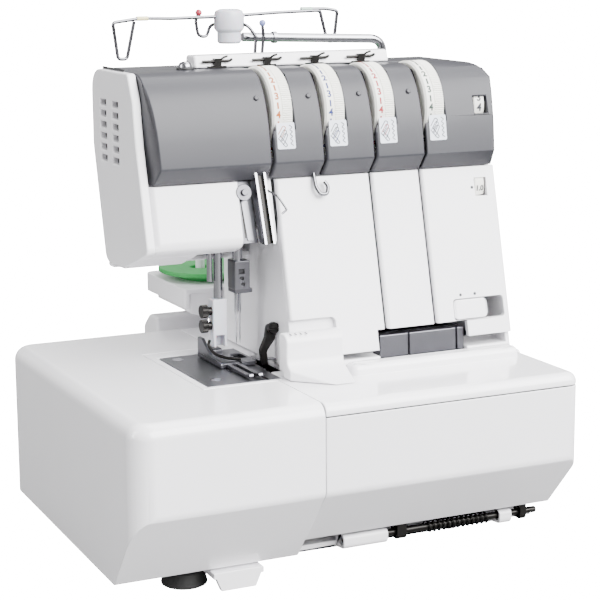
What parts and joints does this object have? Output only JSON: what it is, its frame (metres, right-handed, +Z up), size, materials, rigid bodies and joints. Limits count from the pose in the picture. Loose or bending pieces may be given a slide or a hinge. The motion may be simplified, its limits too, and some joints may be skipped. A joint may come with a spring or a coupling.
{
  "type": "serger overlock machine",
  "caption": "Free-standing overlock sewing machine with needle head, knives, thread tension dials, hinged looper cover, slide-off bed extension and telescopic thread stand.",
  "frame": {"origin": "centre of the machine's footprint on the surface it stands on", "axes": "+Z up, -Y towards the sewer, +X towards the handwheel"},
  "size_m": [0.2798, 0.245, 0.3004],
  "materials": {
    "white_shell": "satin moulded white plastic",
    "gloss_shell": "glossy moulded white plastic",
    "grey_shell": "satin moulded grey plastic",
    "dial_white": "ivory dial plastic",
    "clear_holder": "pale translucent plastic",
    "rubber": "black rubber",
    "dark_plastic": "black plastic",
    "cast_frame": "cast, unpainted",
    "dark_steel": "dark ground steel",
    "steel": "ground steel",
    "chrome": "polished"
  },
  "bodies": {
    "chassis": {"base_pan": "white_shell", "foot_front_left": "rubber", "foot_front_right": "rubber", "foot_rear_left": "rubber", "foot_rear_right": "rubber", "base_casing": "white_shell", "machine_frame": "cast_frame", "free_arm": "white_shell", "column_casing": "white_shell", "head_casing": "white_shell", "head_front_cover": "white_shell", "tension_cover_1": "grey_shell", "tension_cover_2": "grey_shell", "tension_cover_3": "grey_shell", "tension_cover_4": "grey_shell", "tension_cover_5": "grey_shell", "top_cover": "grey_shell", "front_panel_left": "white_shell", "front_panel_middle": "white_shell", "front_panel_right": "white_shell", "thread_guide_bar": "white_shell", "tension_shaft": "steel", "face_plate": "chrome", "needle_plate": "dark_steel", "lower_knife": "dark_steel", "thread_block": "dark_steel", "drive_motor": "cast_frame", "drive_belt": "rubber", "spool_tray": "white_shell", "mains_inlet": "dark_plastic"},
    "table": {"extension_table": "white_shell"},
    "cover_rod": {"hinge_rod": "steel"},
    "front_cover": {"looper_cover": "white_shell", "looper_cover_lid": "gloss_shell", "knife_guard": "white_shell"},
    "dial_1": {"tension_dial_1": "dial_white"},
    "dial_2": {"tension_dial_2": "dial_white"},
    "dial_3": {"tension_dial_3": "dial_white"},
    "dial_4": {"tension_dial_4": "dial_white"},
    "length_dial": {"stitch_length_dial": "dial_white"},
    "feed_dial": {"differential_feed_dial": "dial_white"},
    "plate_slider": {"needle_plate_slider": "gloss_shell"},
    "pressure_knob": {"pressure_screw": "chrome"},
    "drive": {"main_shaft": "steel", "handwheel": "white_shell"},
    "rocker": {"rock_shaft": "steel"},
    "needle_unit": {"needle_bar": "chrome", "needle_left": "chrome", "needle_right": "chrome"},
    "knife": {"upper_knife": "dark_steel"},
    "looper_upper": {"upper_looper": "steel"},
    "looper_lower": {"lower_looper": "steel"},
    "feed": {"feed_dog": "steel"},
    "presser": {"presser_bar": "chrome", "foot_holder": "clear_holder"},
    "sole": {"presser_foot": "chrome"},
    "lifter": {"presser_lifter": "white_shell"},
    "pole": {"guide_pole": "chrome", "guide_tree": "chrome"},
    "switch": {"power_switch": "dark_plastic"}
  },
  "joints": [
    {"name": "table_slide", "type": "slide", "parent": "chassis", "child": "table", "axis": [-1, 0, 0], "range_m": [0, 0.12]},
    {"name": "cover_tilt", "type": "hinge", "parent": "chassis", "child": "cover_rod", "pos_m": [0.0553, -0.0863, 0.0172], "axis": [1, 0, 0], "range_deg": [0, 55]},
    {"name": "cover_slide", "type": "slide", "parent": "cover_rod", "child": "front_cover", "axis": [1, 0, 0], "range_m": [0, 0.006], "stiffness_N_per_m": 300},
    {"name": "tension_dial_1_turn", "type": "hinge", "parent": "chassis", "child": "dial_1", "pos_m": [-0.0172, -0.0095, 0.246], "axis": [1, 0, 0], "range_deg": [-110, 190]},
    {"name": "tension_dial_2_turn", "type": "hinge", "parent": "chassis", "child": "dial_2", "pos_m": [0.0148, -0.0095, 0.246], "axis": [1, 0, 0], "range_deg": [-110, 190]},
    {"name": "tension_dial_3_turn", "type": "hinge", "parent": "chassis", "child": "dial_3", "pos_m": [0.0462, -0.0095, 0.246], "axis": [1, 0, 0], "range_deg": [-110, 190]},
    {"name": "tension_dial_4_turn", "type": "hinge", "parent": "chassis", "child": "dial_4", "pos_m": [0.0783, -0.0095, 0.246], "axis": [1, 0, 0], "range_deg": [-110, 190]},
    {"name": "stitch_length_turn", "type": "hinge", "parent": "chassis", "child": "length_dial", "pos_m": [0.1092, -0.0193, 0.246], "axis": [1, 0, 0], "range_deg": [-30, 150]},
    {"name": "differential_feed_turn", "type": "hinge", "parent": "chassis", "child": "feed_dial", "pos_m": [0.1097, -0.0189, 0.199], "axis": [1, 0, 0], "range_deg": [-90, 90]},
    {"name": "plate_slider_slide", "type": "slide", "parent": "chassis", "child": "plate_slider", "axis": [1, 0, 0], "range_m": [0, 0.009]},
    {"name": "pressure_screw_turn", "type": "hinge", "parent": "chassis", "child": "pressure_knob", "pos_m": [-0.0604, -0.0005, 0.272], "axis": [0, 0, 1], "range_deg": [-180, 180]},
    {"name": "handwheel_turn", "type": "hinge", "parent": "chassis", "child": "drive", "pos_m": [0.1313, 0.0275, 0.084], "axis": [1, 0, 0], "continuous": true},
    {"name": "rocker_turn", "type": "hinge", "parent": "chassis", "child": "rocker", "pos_m": [-0.0087, 0.0315, 0.214], "axis": [1, 0, 0], "range_deg": [0, 32]},
    {"name": "needle_stroke", "type": "slide", "parent": "chassis", "child": "needle_unit", "axis": [0, 0, 1], "range_m": [-0.024, 0]},
    {"name": "knife_stroke", "type": "hinge", "parent": "chassis", "child": "knife", "pos_m": [-0.0237, 0.0035, 0.117], "axis": [1, 0, 0], "range_deg": [0, 8]},
    {"name": "upper_looper_swing", "type": "hinge", "parent": "chassis", "child": "looper_upper", "pos_m": [-0.0562, -0.025, 0.06], "axis": [0, 1, 0], "range_deg": [0, 18]},
    {"name": "lower_looper_swing", "type": "hinge", "parent": "chassis", "child": "looper_lower", "pos_m": [-0.0692, -0.015, 0.058], "axis": [0, 1, 0], "range_deg": [-14, 0]},
    {"name": "feed_stroke", "type": "slide", "parent": "chassis", "child": "feed", "axis": [0, 1, 0], "range_m": [0, 0.0036]},
    {"name": "presser_lift", "type": "slide", "parent": "chassis", "child": "presser", "axis": [0, 0, 1], "range_m": [0, 0.0055]},
    {"name": "foot_tilt", "type": "hinge", "parent": "presser", "child": "sole", "pos_m": [-0.0467, 0.0055, 0.111], "axis": [-1, 0, 0], "range_deg": [0, 8]},
    {"name": "lifter_turn", "type": "hinge", "parent": "chassis", "child": "lifter", "pos_m": [-0.0597, 0.0405, 0.1897], "axis": [0, 1, 0], "range_deg": [0, 30.5]},
    {"name": "pole_slide", "type": "slide", "parent": "chassis", "child": "pole", "axis": [0, 0, 1], "range_m": [0, 0.09]},
    {"name": "switch_rock", "type": "hinge", "parent": "chassis", "child": "switch", "pos_m": [0.1193, 0.0465, 0.038], "axis": [0, 0, 1], "range_deg": [-6, 6]}
  ],
  "couplings": [
    {"joint": "needle_stroke", "follows": "rocker_turn", "m_per_rad": -0.042},
    {"joint": "knife_stroke", "follows": "rocker_turn", "ratio": 0.24},
    {"joint": "upper_looper_swing", "follows": "rocker_turn", "ratio": 0.55},
    {"joint": "lower_looper_swing", "follows": "rocker_turn", "ratio": -0.43},
    {"joint": "feed_stroke", "follows": "rocker_turn", "m_per_rad": 0.0062},
    {"joint": "lifter_turn", "follows": "presser_lift", "rad_per_m": 95}
  ]
}
